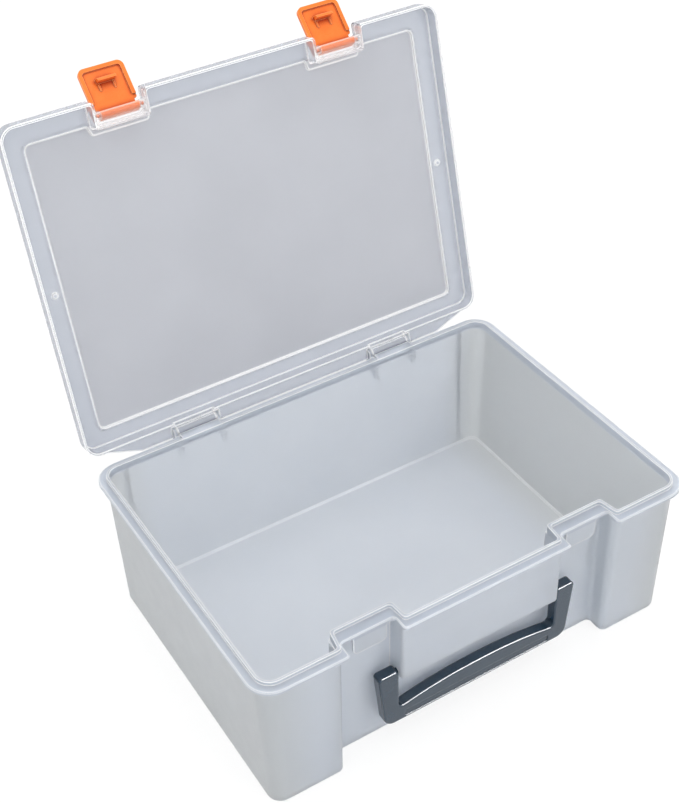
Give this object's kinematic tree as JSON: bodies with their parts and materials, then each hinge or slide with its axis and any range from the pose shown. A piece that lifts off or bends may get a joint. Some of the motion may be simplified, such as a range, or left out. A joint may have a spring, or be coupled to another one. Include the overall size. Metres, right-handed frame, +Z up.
{
  "type": "photo keeper case",
  "caption": "Hinged frosted plastic storage case with a flanged rim, tray lid, snap latches and a swinging carrying handle set in a front recess.",
  "frame": {"origin": "middle of the case's underside, on the surface that it stands on", "axes": "+X to the right as seen from the front, +Y from the handle towards the hinges, +Z up"},
  "size_m": [0.3714, 0.3699, 0.4034],
  "materials": {
    "frosted_plastic": "frosted, translucent",
    "orange_plastic": "satin",
    "grey_plastic": "satin"
  },
  "bodies": {
    "case": {"case_shell": "frosted_plastic"},
    "lid": {"lid_shell": "frosted_plastic"},
    "left_latch": {"latch_left": "orange_plastic"},
    "right_latch": {"latch_right": "orange_plastic"},
    "carry_handle": {"handle": "grey_plastic"}
  },
  "joints": [
    {"name": "lid_hinge", "type": "hinge", "parent": "case", "child": "lid", "pos_m": [0, 0.1375, 0.1315], "axis": [1, 0, 0], "range_deg": [0, 104.76]},
    {"name": "left_latch_pivot", "type": "hinge", "parent": "lid", "child": "left_latch", "pos_m": [-0.0917, 0.20584, 0.37989], "axis": [1, 0, 0], "range_deg": [0, 121]},
    {"name": "right_latch_pivot", "type": "hinge", "parent": "lid", "child": "right_latch", "pos_m": [0.0917, 0.20584, 0.37989], "axis": [1, 0, 0], "range_deg": [0, 121]},
    {"name": "handle_swing", "type": "hinge", "parent": "case", "child": "carry_handle", "pos_m": [0, -0.1185, 0.0715], "axis": [-1, 0, 0], "range_deg": [0, 150]}
  ]
}
